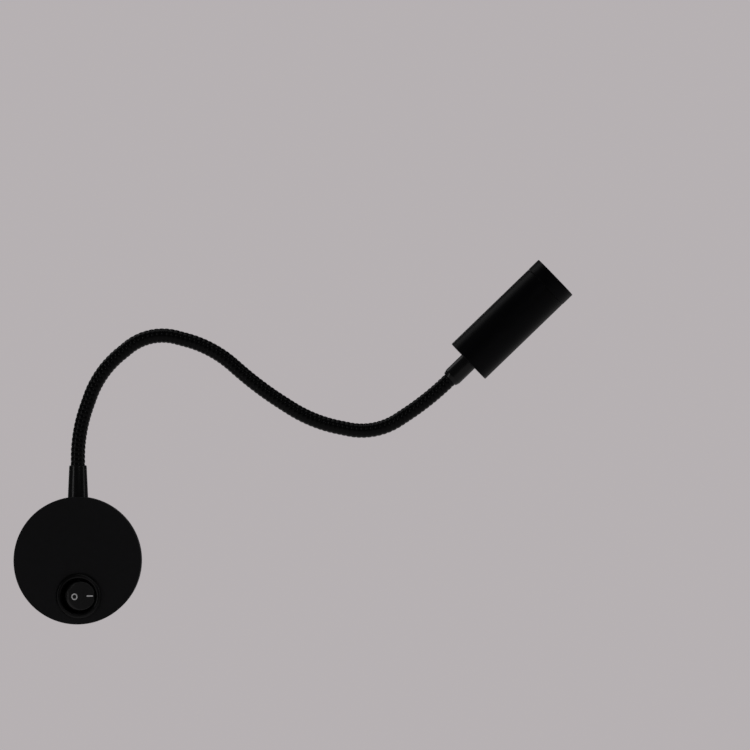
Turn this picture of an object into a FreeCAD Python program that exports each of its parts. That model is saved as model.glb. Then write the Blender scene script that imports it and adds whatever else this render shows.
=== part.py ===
import FreeCAD, Part
import math
import os

# Bedside wall reading lamp, in millimetres.
# X points right, Z points up and the wall is the plane Y = 0; the lamp stands out of it towards -Y.
# The origin is the centre of the canopy's circle on the wall.

# --- driving dimensions ---
CANOPY_R = 35.0            # outer radius of the round canopy
CANOPY_DEPTH = 28.0        # from the wall to the canopy's flat front
CANOPY_WALL = 1.5
CANOPY_FRONT = 1.6         # thickness of the front plate
CANOPY_EDGE = 0.6          # broken edge between the side and the front
AXIS_DEPTH = 14.0          # hose and head lie in the plane this far from the wall

SWITCH_DROP = 19.3         # switch centre below the canopy's centre
SWITCH_ASIDE = 0.8         # and to the right of it
SWITCH_FLANGE_R = 12.4
SWITCH_BODY_R = 9.9
ROCKER_R = 8.2
ROCKER_TILT = 12.0         # each way from level; the lamp is drawn switched on
ROCKER_PIVOT = 24.0        # depth of the rocker's pivot, from the wall
ROCKER_FACE = 5.0          # from the pivot to the bottom of the face's shallow V
SEESAW_TILT = 8.0
SEESAW_DROP = 7.3          # seesaw contact's pivot behind the rocker's pivot

HOSE_CREST_R = 4.0
HOSE_VALLEY_R = 3.45
HOSE_BORE_R = 2.4
HOSE_SIDES = 11            # sides of the rings that the hose is lofted through
HOSE_START_Z = 52.4        # where the ribs leave the base ferrule
LINK_PITCH = 34.36         # from one flex centre to the next, along the hose
LINK_TURNS = [-19.5, -31.0, -54.5, -26.0, 8.5, 21.0, 45.0, 10.5]   # turn of each length, degrees
RIBS_PER_LINK = 13
RIB_CREST = 0.3            # half the crest's width, as a share of the rib pitch
SOCKET_RUN = 4.0           # straight run at the start of each length, where its socket is
BALL_RUN = 1.5             # straight run at the end of each length, before its ball
BALL_REACH = 3.0           # the ball's end beyond the flex centre
SOCKET_GAP = 0.2           # between a ball and its socket
HOSE_TAIL = 8.0            # plain end of the hose inside a ferrule
LEAD_R = 0.65
LEAD_OFFSET = 0.95         # of each lead's centre from the hose's centre

FERRULE_FOOT_R = 5.6       # base ferrule at the canopy
FERRULE_MOUTH_R = 4.85     # and where the hose leaves it
HEAD_FERRULE_R = 5.25
HEAD_FERRULE_LENGTH = 14.1
STUD_R = 4.0               # threaded tail of each ferrule
STUD_BORE_R = 2.6
NUT_FLATS = 12.0

HEAD_R = 13.35
HEAD_WALL = 1.2
HEAD_BACK = 2.0            # thickness of the head's flat back
HEAD_TUBE_LENGTH = 59.0
HEAD_LENGTH = 66.8
RING_R = 13.45
SINK_START = 24.0          # heat sink, from the head's back
SINK_LENGTH = 22.0
BOARD_THICK = 1.6

BRACKET_THICK = 1.5
BRACKET_HALF_HEIGHT = 8.0
BRACKET_REACH = 32.0       # outer face of the bracket's ears
EAR_DEPTH = 13.0
SLOT_AT = 24.0
SLOT_R = 2.3
SLOT_LENGTH = 9.0
CABLE_HOLE_R = 5.5
CABLE_BORE_R = 3.75
EARTH_X = 13.0             # earth screw, to the right of the cable hole
SIDE_SCREW_DEPTH = 8.0
SIDE_SCREW_R = 1.5

DRIVER_HALF = 17.0
DRIVER_Z = (4.0, 24.0)
DRIVER_DEPTH = (6.0, 22.0)
TERMINAL_X = (12.5, 23.5)
TERMINAL_Z = (-22.0, -10.0)
TERMINAL_DEPTH = (8.0, 17.0)
POLES = 3
WIRE_R = 0.75
CANOPY_SIDES = 64          # flat sides that stand for the roundness of each kind of piece
OUTER_SIDES = 28
INNER_SIDES = 16

vec = FreeCAD.Vector
X_DIR = vec(1, 0, 0)
Y_DIR = vec(0, 1, 0)
Z_DIR = vec(0, 0, 1)
FRONT = vec(0, -1, 0)


# --- small helpers ---
def save(name, shape):
    shape.exportStep(os.path.join("parts", name + ".step"))


def cylinder(radius, length, base, direction):
    return Part.makeCylinder(radius, length, base, direction)


def block(low, high):
    size = [high[i] - low[i] for i in range(3)]
    return Part.makeBox(size[0], size[1], size[2], vec(*low))


def skinned(rings, loop=False):
    """A solid lofted with flat facets through rings of points, closed by end caps or back to its start."""
    count = len(rings[0])
    pairs = list(zip(rings, rings[1:]))
    if loop:
        pairs.append((rings[-1], rings[0]))
    faces = []
    for near, far in pairs:
        for i in range(count):
            after = (i + 1) % count
            faces += flat_faces([near[i], near[after], far[after], far[i]])
    if not loop:
        faces.append(Part.Face(Part.makePolygon(rings[0] + rings[0][:1])))
        faces.append(Part.Face(Part.makePolygon(rings[-1] + rings[-1][:1])))
    solid = Part.Solid(Part.Shell(faces))
    if solid.Volume < 0:
        solid.reverse()
    return solid


def flat_faces(corners):
    """One flat face through four corners, or two where they are not in one plane."""
    kept = [here for here, before in zip(corners, corners[-1:] + corners[:-1])
            if here.distanceToPoint(before) > 1e-6]
    if len(kept) < 3:
        return []
    if len(kept) == 4:
        across = (kept[2] - kept[0]).cross(kept[3] - kept[1]).normalize()
        if abs((kept[1] - kept[0]).dot(across)) > 1e-7:
            halves = [[kept[0], kept[1], kept[2]], [kept[0], kept[2], kept[3]]]
            return [Part.Face(Part.makePolygon(half + half[:1])) for half in halves]
    return [Part.Face(Part.makePolygon(kept + kept[:1]))]


def turned(profile, base=vec(0, 0, 0), direction=Z_DIR, sides=INNER_SIDES):
    """Turn a closed profile of (radius, distance) points about an axis, with flat sides all round.

    The axis runs from base along direction. The profile may start and end on the axis."""
    rings = []
    for radius, along in profile:
        angles = [2 * math.pi * (i + 0.5) / sides for i in range(sides)]
        rings.append([vec(radius * math.cos(angle), radius * math.sin(angle), along) for angle in angles])
    if profile[0][0] == 0:
        solid = skinned(rings[1:-1])
    else:
        solid = skinned(rings, loop=True)
    solid.Placement = FreeCAD.Placement(base, FreeCAD.Rotation(Z_DIR, direction))
    return solid


def rod(radius, length, base, direction, sides=INNER_SIDES):
    return turned([(0, 0), (radius, 0), (radius, length), (0, length)], base, direction, sides)


def washer(outer, inner, length, base, direction):
    return turned([(inner, 0), (outer, 0), (outer, length), (inner, length)], base, direction)


def hexagon(flats, length, base, direction):
    corner = flats / math.sqrt(3)
    points = [vec(corner * math.cos(math.radians(60 * i)), corner * math.sin(math.radians(60 * i)), 0)
              for i in range(7)]
    solid = Part.Face(Part.makePolygon(points)).extrude(vec(0, 0, length))
    solid.Placement = FreeCAD.Placement(base, FreeCAD.Rotation(Z_DIR, direction))
    return solid


def together(shapes):
    joined = shapes[0]
    for shape in shapes[1:]:
        joined = joined.fuse(shape)
    return joined.removeSplitter()


def screw(shank_r, length, head_r, head_height, tip, direction):
    """A pan-head screw with a cross in its head, which lies on the far side from direction."""
    sides = 8
    reach = length + head_height
    profile = [(0, -reach), (head_r * 0.7, -reach), (head_r, -length - head_height * 0.5), (head_r, -length),
               (shank_r, -length), (shank_r, 0), (0, 0)]
    body = turned(profile, tip, direction, sides)
    arm = head_r * 0.6
    slot = head_r * 0.13
    for across, along in ((arm, slot), (slot, arm)):
        cross = block((-across, -along, -reach), (across, along, -reach + head_height * 0.6))
        cross.Placement = FreeCAD.Placement(tip, FreeCAD.Rotation(Z_DIR, direction))
        body = body.cut(cross)
    return body


def rounded_path(points, radius):
    """A wire of straight runs joined by arcs, with up to the given radius at each corner."""
    edges = []
    start = points[0]
    for here, corner, there in zip(points, points[1:], points[2:]):
        into = (corner - here).normalize()
        out = (there - corner).normalize()
        half = into.getAngle(out) / 2
        shorter = min((corner - here).Length, (there - corner).Length)
        back = min(radius * math.tan(half), 0.45 * shorter)
        size = back / math.tan(half)
        first = corner - into * back
        last = corner + out * back
        middle = corner + (out - into).normalize() * size * (1 / math.cos(half) - 1)
        edges.append(Part.LineSegment(start, first).toShape())
        edges.append(Part.Arc(first, middle, last).toShape())
        start = last
    edges.append(Part.LineSegment(start, points[-1]).toShape())
    return Part.Wire(edges)


def swept(path, radius, sides, steps=3):
    """A wire or spring: many-sided rings along a path of runs and arcs, with a few rings on each arc."""
    stations = []
    for edge in path.OrderedEdges:
        parts = 1 if edge.Curve.TypeId == "Part::GeomLine" else steps
        first = edge.FirstParameter
        last = edge.LastParameter
        marks = [first + (last - first) * i / parts for i in range(parts + 1)]
        if edge.Orientation == "Reversed":
            marks.reverse()
        for mark in marks:
            point = edge.valueAt(mark)
            heading = edge.tangentAt(mark)
            if edge.Orientation == "Reversed":
                heading = -heading
            if not stations or point.distanceToPoint(stations[-1][0]) > 1e-4:
                stations.append((point, heading))
    side = Y_DIR if abs(stations[0][1].y) < 0.9 else X_DIR
    rings = []
    for point, heading in stations:
        other = heading.cross(side).normalize()
        side = other.cross(heading).normalize()
        ring_points = []
        for i in range(sides):
            angle = 2 * math.pi * i / sides
            ring_points.append(point + side * radius * math.cos(angle) + other * radius * math.sin(angle))
        rings.append(ring_points)
    return skinned(rings)


# --- canopy and its wall bracket ---
def make_canopy():
    inner_r = CANOPY_R - CANOPY_WALL
    rim = [(inner_r, CANOPY_DEPTH - CANOPY_FRONT), (inner_r, 0), (CANOPY_R, 0),
           (CANOPY_R, CANOPY_DEPTH - CANOPY_EDGE), (CANOPY_R - CANOPY_EDGE, CANOPY_DEPTH)]
    profile = [(0, CANOPY_DEPTH - CANOPY_FRONT)] + rim + [(0, CANOPY_DEPTH)]
    canopy = turned(profile, direction=FRONT, sides=CANOPY_SIDES)
    behind = switch_point(0, CANOPY_DEPTH - CANOPY_FRONT - 1)
    switch_hole = rod(SWITCH_BODY_R + 0.2, CANOPY_FRONT + 2, behind, FRONT, OUTER_SIDES)
    hose_hole = rod(STUD_R + 0.2, 5, vec(0, -AXIS_DEPTH, CANOPY_R - 3), Z_DIR)
    canopy = canopy.cut(switch_hole).cut(hose_hole)
    for side in (1, -1):
        start = vec(side * (CANOPY_R - 3), -SIDE_SCREW_DEPTH, 0)
        canopy = canopy.cut(rod(SIDE_SCREW_R + 0.2, 5, start, X_DIR * side))
    return canopy


def make_bracket():
    strip = block((-BRACKET_REACH, -BRACKET_THICK, -BRACKET_HALF_HEIGHT),
                  (BRACKET_REACH, 0, BRACKET_HALF_HEIGHT))
    ears = []
    for side in (1, -1):
        near = side * (BRACKET_REACH - BRACKET_THICK)
        far = side * BRACKET_REACH
        ears.append(block((min(near, far), -EAR_DEPTH, -BRACKET_HALF_HEIGHT),
                          (max(near, far), 0, BRACKET_HALF_HEIGHT)))
    bracket = together([strip] + ears)
    bends = [edge for edge in bracket.Edges
             if abs(abs(edge.CenterOfMass.x) - BRACKET_REACH) < 0.01 and abs(edge.CenterOfMass.y) < 0.01
             and edge.Length > 2 * BRACKET_HALF_HEIGHT - 0.1]
    bracket = bracket.makeChamfer(BRACKET_THICK * 0.6, bends)
    corners = [edge for edge in bracket.Edges
               if abs(edge.CenterOfMass.y + EAR_DEPTH) < 0.01 and edge.Length < BRACKET_THICK + 0.01]
    bracket = bracket.makeChamfer(3.0, corners)
    bracket = bracket.cut(rod(CABLE_HOLE_R, BRACKET_THICK, vec(0, 0, 0), FRONT))
    straight = SLOT_LENGTH / 2 - SLOT_R
    for side in (1, -1):
        for end in (1, -1):
            slot_end = vec(side * SLOT_AT + end * straight, 0, 0)
            bracket = bracket.cut(cylinder(SLOT_R, BRACKET_THICK, slot_end, FRONT))
        bracket = bracket.cut(block((side * SLOT_AT - straight, -BRACKET_THICK, -SLOT_R),
                                    (side * SLOT_AT + straight, 0, SLOT_R)))
        ear_hole = rod(SIDE_SCREW_R, 6, vec(side * (BRACKET_REACH - 4), -SIDE_SCREW_DEPTH, 0), X_DIR * side)
        bracket = bracket.cut(ear_hole)
    return bracket.cut(rod(1.5, BRACKET_THICK, vec(EARTH_X, 0, 0), FRONT))


def make_side_screws():
    screws = []
    for side in (1, -1):
        out = X_DIR * side
        body = rod(SIDE_SCREW_R - 0.02, 7.0, vec(side * (CANOPY_R - 7.2), -SIDE_SCREW_DEPTH, 0), out, 16)
        socket = hexagon(1.5, 2.0, vec(side * (CANOPY_R - 2.2), -SIDE_SCREW_DEPTH, 0), out)
        screws.append(body.cut(socket))
    return Part.makeCompound(screws)


def make_grommet():
    lip = CABLE_HOLE_R + 1.2
    profile = [(0, 0), (CABLE_HOLE_R - 0.1, 0), (CABLE_HOLE_R - 0.1, BRACKET_THICK), (lip, BRACKET_THICK),
               (lip, 2.8), (0, 2.8)]
    return turned(profile, direction=FRONT).cut(cylinder(CABLE_BORE_R, 2.8, vec(0, 0, 0), FRONT))


def make_earth_screw():
    return screw(1.45, 2.3, 2.8, 1.8, vec(EARTH_X, 0, 0), Y_DIR)


def make_earth_tag():
    base_y = -BRACKET_THICK
    ring_part = washer(2.9, 1.6, 0.8, vec(EARTH_X, base_y, 0), FRONT)
    neck = block((EARTH_X - 0.6, base_y - 0.8, -6.6), (EARTH_X + 0.6, base_y, -2.6))
    barrel_foot = vec(EARTH_X, base_y - 1.15, -10.4)
    barrel = turned([(0.8, 0), (1.15, 0), (1.15, 4.0), (0.8, 4.0)], barrel_foot, Z_DIR, 12)
    return together([ring_part, neck, barrel])


# --- driver and terminals ---
def make_driver_case():
    low = (-DRIVER_HALF, -DRIVER_DEPTH[1], DRIVER_Z[0])
    high = (DRIVER_HALF, -DRIVER_DEPTH[0] - 1.2, DRIVER_Z[1])
    shell = block(low, high)
    front = [edge for edge in shell.Edges if abs(edge.CenterOfMass.y - low[1]) < 0.01]
    shell = shell.makeChamfer(1.0, front)
    wall = 1.2
    inside_low = (low[0] + wall, low[1] + wall, low[2] + wall)
    shell = shell.cut(block(inside_low, (high[0] - wall, high[1], high[2] - wall)))
    for side in (1, -1):
        lead_hole = rod(LEAD_R + 0.15, 4, vec(side * LEAD_OFFSET, -AXIS_DEPTH, DRIVER_Z[1] - 2), Z_DIR, 8)
        wire_hole = rod(WIRE_R + 0.2, 4, vec(side * 9.0, -AXIS_DEPTH, DRIVER_Z[0] - 2), Z_DIR, 8)
        shell = shell.cut(lead_hole).cut(wire_hole)
    return shell


def make_driver_lid():
    back = -DRIVER_DEPTH[0]
    plate = block((-DRIVER_HALF, back - 1.2, DRIVER_Z[0]), (DRIVER_HALF, back, DRIVER_Z[1]))
    wall = 1.35
    rim = block((-DRIVER_HALF + wall, back - 2.6, DRIVER_Z[0] + wall),
                (DRIVER_HALF - wall, back - 1.2, DRIVER_Z[1] - wall))
    rim = rim.cut(block((-DRIVER_HALF + wall + 1, back - 2.6, DRIVER_Z[0] + wall + 1),
                        (DRIVER_HALF - wall - 1, back - 1.2, DRIVER_Z[1] - wall - 1)))
    return together([plate, rim])


def make_driver_board():
    face_y = -AXIS_DEPTH + WIRE_R
    board = block((-15.4, face_y, DRIVER_Z[0] + 1.5), (15.4, face_y + 1.4, DRIVER_Z[1] - 1.5))
    parts = [board]
    parts.append(block((-6.0, face_y - 5.5, 6.5), (4.0, face_y, 13.0)))
    parts.append(block((-14.5, face_y - 2.0, 14.0), (-8.0, face_y, 18.0)))
    parts.append(rod(2.5, 8.0, vec(10.0, face_y - 2.5, 10.0), Z_DIR))
    parts.append(block((9.0, face_y - 2.5, 10.0), (11.0, face_y, 18.0)))
    parts.append(block((-12.5, face_y + 1.4, 8.0), (-7.5, face_y + 3.0, 12.0)))
    return together(parts)


def pole_height(pole):
    step = (TERMINAL_Z[1] - TERMINAL_Z[0]) / POLES
    return TERMINAL_Z[1] - step * (pole + 0.5)


def make_terminal_block():
    body = block((TERMINAL_X[0], -TERMINAL_DEPTH[1] + 3, TERMINAL_Z[0]),
                 (TERMINAL_X[1], -TERMINAL_DEPTH[0], TERMINAL_Z[1]))
    parts = [body]
    for pole in range(POLES):
        height = pole_height(pole)
        parts.append(block((TERMINAL_X[0] + 0.8, -TERMINAL_DEPTH[1], height - 1.6),
                           (TERMINAL_X[1] - 0.8, -TERMINAL_DEPTH[0] - 1, height + 1.6)))
    shape = together(parts)
    for pole in range(POLES):
        height = pole_height(pole)
        shape = shape.cut(rod(1.0, 20, vec(TERMINAL_X[0] - 2, -12.0, height), X_DIR, 6))
        for along in (0.27, 0.73):
            at = TERMINAL_X[0] + along * (TERMINAL_X[1] - TERMINAL_X[0])
            shape = shape.cut(rod(1.3, 8, vec(at, -12.5, height), FRONT, 8))
    return shape


def make_terminal_screws():
    screws = []
    for pole in range(POLES):
        for along in (0.27, 0.73):
            at = TERMINAL_X[0] + along * (TERMINAL_X[1] - TERMINAL_X[0])
            body = rod(1.2, 3.0, vec(at, -13.2, pole_height(pole)), FRONT, 8)
            slot = block((at - 1.2, -16.3, pole_height(pole) - 0.2), (at + 1.2, -15.5, pole_height(pole) + 0.2))
            screws.append(body.cut(slot))
    return Part.makeCompound(screws)


# --- switch; its own frame is X right, Z up, and depth measured from the wall ---
def switch_point(x, depth, up=0.0):
    return vec(SWITCH_ASIDE + x, -depth, up - SWITCH_DROP)


def switch_block(low, high):
    """A block between two corners given as (x, depth, up) in the switch's own frame."""
    one = switch_point(*low)
    other = switch_point(*high)
    return block([min(one[i], other[i]) for i in range(3)], [max(one[i], other[i]) for i in range(3)])


def tilted(shape, pivot_depth, degrees):
    """Tilt a shape about the switch's upright axis; a positive angle presses the right side in."""
    shape.rotate(switch_point(0, pivot_depth), Z_DIR, degrees)
    return shape


def make_switch_housing():
    top = CANOPY_DEPTH + 2.0
    profile = [(0, 13.0), (SWITCH_BODY_R, 13.0), (SWITCH_BODY_R, CANOPY_DEPTH), (SWITCH_FLANGE_R, CANOPY_DEPTH),
               (SWITCH_FLANGE_R, CANOPY_DEPTH + 0.8), (11.6, top - 0.2), (10.8, top), (10.1, top - 0.2),
               (9.7, top - 0.9), (9.3, CANOPY_DEPTH),
               (8.6, ROCKER_PIVOT), (8.6, 20.2), (0, 20.2)]
    body = turned(profile, switch_point(0, 0), FRONT, OUTER_SIDES)
    body = body.cut(switch_block((-7.6, 14.4, -2.6), (7.6, 20.2, 2.6)))
    pin_hole = rod(1.1, 22, switch_point(0, ROCKER_PIVOT, -11), Z_DIR, 12)
    body = body.cut(pin_hole)
    for x in (0.0, -5.6):
        body = body.cut(switch_block((x - 0.45, 12, -2.45), (x + 0.45, 15, 2.45)))
    catches = []
    for side in (1, -1):
        points = [switch_point(side * 9.5, 26.2, -2), switch_point(side * 10.9, 26.2, -2),
                  switch_point(side * 9.5, 21.5, -2)]
        catches.append(Part.Face(Part.makePolygon(points + [points[0]])).extrude(vec(0, 0, 4)))
    return together([body] + catches)


def make_rocker():
    slope = math.tan(math.radians(ROCKER_TILT))
    far = ROCKER_R + 1
    low = ROCKER_PIVOT - 1.5
    top = ROCKER_PIVOT + ROCKER_FACE
    points = [switch_point(-far, top - far * slope, -far), switch_point(far, top + far * slope, -far),
              switch_point(far, top + far, -far), switch_point(-far, top + far, -far)]
    over = Part.Face(Part.makePolygon(points + [points[0]])).extrude(vec(0, 0, 2 * far))
    barrel = rod(ROCKER_R, ROCKER_FACE + far, switch_point(0, low), FRONT, OUTER_SIDES)
    other = over.copy()
    other.rotate(switch_point(0, 0), Y_DIR, 180)
    barrel = barrel.cut(over.common(other))
    barrel = barrel.cut(rod(ROCKER_R - 1.2, 3.0, switch_point(0, low), FRONT))
    hub = rod(2.4, 4.0, switch_point(0, ROCKER_PIVOT - 2.4), FRONT)
    pins = rod(1.0, 18.6, switch_point(0, ROCKER_PIVOT, -9.3), Z_DIR, 12)
    rocker = together([barrel, hub, pins])
    rocker = rocker.cut(rod(1.4, 5.2, switch_point(0, ROCKER_PIVOT - 2.4), FRONT, 12))
    return tilted(rocker, ROCKER_PIVOT, ROCKER_TILT)


def make_plunger():
    tip = ROCKER_PIVOT - 6.05
    profile = [(0, tip), (0.5, tip), (1.1, tip + 0.5), (1.3, tip + 1.2), (1.3, tip + 4.6), (0.5, tip + 4.6),
               (0.5, tip + 5.6), (0, tip + 5.6)]
    return tilted(turned(profile, switch_point(0, 0), FRONT, 12), ROCKER_PIVOT, ROCKER_TILT)


def make_plunger_spring():
    wire_r = 0.15
    coil_r = 0.95
    turns = 3
    start = ROCKER_PIVOT - 1.2
    height = 3.4
    points = []
    for i in range(turns * 8 + 1):
        angle = math.pi * i / 4
        points.append(switch_point(coil_r * math.cos(angle), start + height * i / (turns * 8),
                                   coil_r * math.sin(angle)))
    edges = [Part.Arc(points[i], points[i + 1], points[i + 2]).toShape() for i in range(0, turns * 8, 2)]
    return tilted(swept(Part.Wire(edges), wire_r, 4, 2), ROCKER_PIVOT, ROCKER_TILT)


def make_seesaw():
    pivot = ROCKER_PIVOT - SEESAW_DROP
    blade = switch_block((-6.6, pivot + 0.3, -2.0), (6.6, pivot + 0.9, 2.0))
    contact = rod(1.3, 0.7, switch_point(-5.2, pivot - 0.1), FRONT, 12)
    bead = rod(0.3, 4.0, switch_point(0, pivot + 0.15, -2.0), Z_DIR, 8)
    return tilted(together([blade, contact, bead]), pivot, -SEESAW_TILT)


def make_line_terminal():
    pivot = ROCKER_PIVOT - SEESAW_DROP
    blade = switch_block((-0.4, 5.5, -2.4), (0.4, pivot - 0.25, 2.4))
    return blade.cut(rod(0.8, 2, switch_point(-1, 7.6), X_DIR, 12))


def make_load_terminal():
    blade = switch_block((-6.0, 5.5, -2.4), (-5.2, 15.0, 2.4))
    pad = rod(1.2, 0.5, switch_point(-5.3, 14.5), FRONT, 12)
    blade = blade.cut(rod(0.8, 2, switch_point(-6.6, 7.6), X_DIR, 12))
    return together([blade, pad])


# --- hose ---
def hose_frames():
    """Flex centres of the hose: for each, its place (x, z) and heading in radians."""
    frames = [(0.0, HOSE_START_Z, math.pi / 2)]
    for turn in LINK_TURNS:
        x, z, heading = frames[-1]
        frames.append(hose_step(x, z, heading, math.radians(turn), LINK_PITCH))
    return frames


def hose_step(x, z, heading, turn, along):
    """Where the hose is after a way along one length: straight run, arc, straight run."""
    run = min(along, SOCKET_RUN)
    x += run * math.cos(heading)
    z += run * math.sin(heading)
    bend = LINK_PITCH - SOCKET_RUN - BALL_RUN
    part = min(max(along - SOCKET_RUN, 0.0), bend) / bend
    angle = turn * part
    chord = 2 * bend / turn * math.sin(angle / 2)
    x += chord * math.cos(heading + angle / 2)
    z += chord * math.sin(heading + angle / 2)
    heading += angle
    run = max(along - SOCKET_RUN - bend, 0.0)
    return x + run * math.cos(heading), z + run * math.sin(heading), heading


def hose_place(link, along):
    """Place and heading on one length; before its start and after its end the hose runs straight."""
    x, z, heading = hose_frames()[link]
    if along < 0:
        return x + along * math.cos(heading), z + along * math.sin(heading), heading
    return hose_step(x, z, heading, math.radians(LINK_TURNS[link]), along)


def ring(link, along, radius, sides=HOSE_SIDES, shift=0.0):
    """Points of a many-sided ring square to the hose, with its corners on a steady axis."""
    x, z, heading = hose_place(link, along)
    points = []
    for i in range(sides):
        angle = 2 * math.pi * (i + 0.5) / sides
        inside = radius * math.cos(angle) + shift
        points.append(vec(x - inside * math.sin(heading), -AXIS_DEPTH + radius * math.sin(angle),
                          z + inside * math.cos(heading)))
    return points


def make_hose_length(link):
    """One ribbed length: a socket at its start and a ball at its end, or a plain tail in a ferrule."""
    pitch = LINK_PITCH / RIBS_PER_LINK
    first = link == 0
    last = link == len(LINK_TURNS) - 1
    corner = 1 / math.cos(math.pi / HOSE_SIDES)
    socket_r = HOSE_CREST_R + SOCKET_GAP
    rim = 2.42
    lip = 3.45
    if first:
        outer = [(-HOSE_TAIL, 3.9), (0, 3.9), (pitch * 0.5, HOSE_VALLEY_R)]
    else:
        outer = [(rim, 3.75)]
    for rib in range(1, RIBS_PER_LINK + 1):
        low = pitch * (rib - RIB_CREST)
        high = pitch * (rib + RIB_CREST)
        if rib == 1 and not first:
            low = 2.72
        outer.append((low, HOSE_CREST_R))
        if rib < RIBS_PER_LINK:
            outer.append((high, HOSE_CREST_R))
            outer.append((pitch * (rib + 0.5), HOSE_VALLEY_R))
    if last:
        outer += [(LINK_PITCH + pitch * RIB_CREST, HOSE_CREST_R), (LINK_PITCH + pitch * 0.5, 3.9),
                  (LINK_PITCH + HOSE_TAIL, 3.9)]
    else:
        for reach in (0.0, BALL_REACH * 0.55, BALL_REACH):
            outer.append((LINK_PITCH + reach, math.sqrt(HOSE_CREST_R ** 2 - reach ** 2)))
    start = -HOSE_TAIL if first else lip
    end = LINK_PITCH + (HOSE_TAIL if last else BALL_REACH)
    bore = [(start, HOSE_BORE_R * corner)]
    bend = LINK_PITCH - SOCKET_RUN - BALL_RUN
    for i in range(4):
        bore.append((SOCKET_RUN + bend * i / 3, HOSE_BORE_R * corner))
    bore.append((end, HOSE_BORE_R * corner))
    if not first:
        reach_r = [math.sqrt(socket_r ** 2 - along ** 2) * corner for along in (rim, lip)]
        bore = [(rim, reach_r[0]), (lip, reach_r[1])] + bore[1:]
    wall = outer + bore[::-1]
    return skinned([ring(link, along, radius) for along, radius in wall], loop=True)


def make_lead(side):
    """One lead, whole from the driver through the hose to the light board."""
    shift = -side * LEAD_OFFSET
    sides = 6
    arc_steps = 3
    bend = LINK_PITCH - SOCKET_RUN - BALL_RUN
    rings = [ring(0, 14.0 - HOSE_START_Z, LEAD_R, sides, shift)]
    for link in range(len(LINK_TURNS)):
        for i in range(arc_steps + 1):
            rings.append(ring(link, SOCKET_RUN + bend * i / arc_steps, LEAD_R, sides, shift))
    end = LINK_PITCH + HEAD_FERRULE_LENGTH + SINK_START + SINK_LENGTH - 0.1
    rings.append(ring(len(LINK_TURNS) - 1, end, LEAD_R, sides, shift))
    return skinned(rings)


# --- ferrules, washers and nuts of the hose ---
def make_base_ferrule():
    foot = CANOPY_R - 1.2
    tail = 27.0
    mouth = HOSE_START_Z
    socket = mouth - HOSE_TAIL - 0.2
    base = vec(0, -AXIS_DEPTH, 0)
    skirt = turned([(0, foot), (FERRULE_FOOT_R, foot), (FERRULE_FOOT_R, CANOPY_R + 0.6), (0, CANOPY_R + 0.6)],
                   base, Z_DIR, OUTER_SIDES)
    skirt = skirt.cut(cylinder(CANOPY_R, CANOPY_DEPTH, vec(0, 0, 0), FRONT))
    collar = turned([(0, CANOPY_R + 0.6), (FERRULE_FOOT_R, CANOPY_R + 0.6), (FERRULE_MOUTH_R, mouth - 0.5),
                     (FERRULE_MOUTH_R - 0.3, mouth), (0, mouth)], base, Z_DIR, OUTER_SIDES)
    body = skirt.fuse(collar).fuse(rod(STUD_R, CANOPY_R + 1 - tail, base + Z_DIR * tail, Z_DIR))
    body = body.cut(rod(4.05, HOSE_TAIL + 1, base + Z_DIR * socket, Z_DIR, OUTER_SIDES))
    return body.cut(rod(STUD_BORE_R, 30, base + Z_DIR * (tail - 1), Z_DIR, 12)).removeSplitter()


def make_saddle_washer():
    inner_r = CANOPY_R - CANOPY_WALL
    saddle = washer(6.6, STUD_R + 0.15, 3.0, vec(0, -AXIS_DEPTH, inner_r - 1.8), Z_DIR)
    flats_r = inner_r * math.cos(math.pi / CANOPY_SIDES)
    return saddle.common(cylinder(flats_r, CANOPY_DEPTH, vec(0, 0, 0), FRONT))


def make_hose_nut():
    top = CANOPY_R - CANOPY_WALL - 1.8
    nut = hexagon(NUT_FLATS, 3.2, vec(0, -AXIS_DEPTH, top - 3.2), Z_DIR)
    return nut.cut(rod(STUD_R + 0.15, 4, vec(0, -AXIS_DEPTH, top - 3.6), Z_DIR))


# --- head; its own axis runs from the flat back to the mouth ---
def head_back():
    x, z, heading = hose_frames()[-1]
    return (x + HEAD_FERRULE_LENGTH * math.cos(heading), z + HEAD_FERRULE_LENGTH * math.sin(heading), heading)


def on_head(shape):
    """Move a shape drawn along +Z from the head's back into its place."""
    x, z, heading = head_back()
    along = vec(math.cos(heading), 0, math.sin(heading))
    place = FreeCAD.Placement(vec(x, -AXIS_DEPTH, z), FreeCAD.Rotation(Z_DIR, along))
    shape.Placement = place.multiply(shape.Placement)
    return shape


def make_head_ferrule():
    start = -HEAD_FERRULE_LENGTH
    socket = start + HOSE_TAIL + 0.2
    profile = [(4.1, start), (4.6, start), (HEAD_FERRULE_R, start + 2.2), (HEAD_FERRULE_R, 0), (STUD_R, 0),
               (STUD_R, 9.0), (STUD_BORE_R, 9.0), (STUD_BORE_R, socket), (4.1, socket)]
    return on_head(turned(profile, sides=OUTER_SIDES))


def make_head_washer():
    return on_head(washer(6.5, STUD_R + 0.15, 0.8, vec(0, 0, HEAD_BACK), Z_DIR))


def make_head_nut():
    nut = hexagon(NUT_FLATS, 4.0, vec(0, 0, HEAD_BACK + 0.8), Z_DIR)
    return on_head(nut.cut(rod(STUD_R + 0.15, 5, vec(0, 0, HEAD_BACK + 0.5), Z_DIR)))


def make_head_tube():
    inner = HEAD_R - HEAD_WALL
    profile = [(STUD_R + 0.1, 0), (HEAD_R - 0.4, 0), (HEAD_R, 0.4), (HEAD_R, HEAD_TUBE_LENGTH),
               (inner, HEAD_TUBE_LENGTH), (inner, HEAD_BACK), (STUD_R + 0.1, HEAD_BACK)]
    return on_head(turned(profile, sides=OUTER_SIDES))


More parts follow.
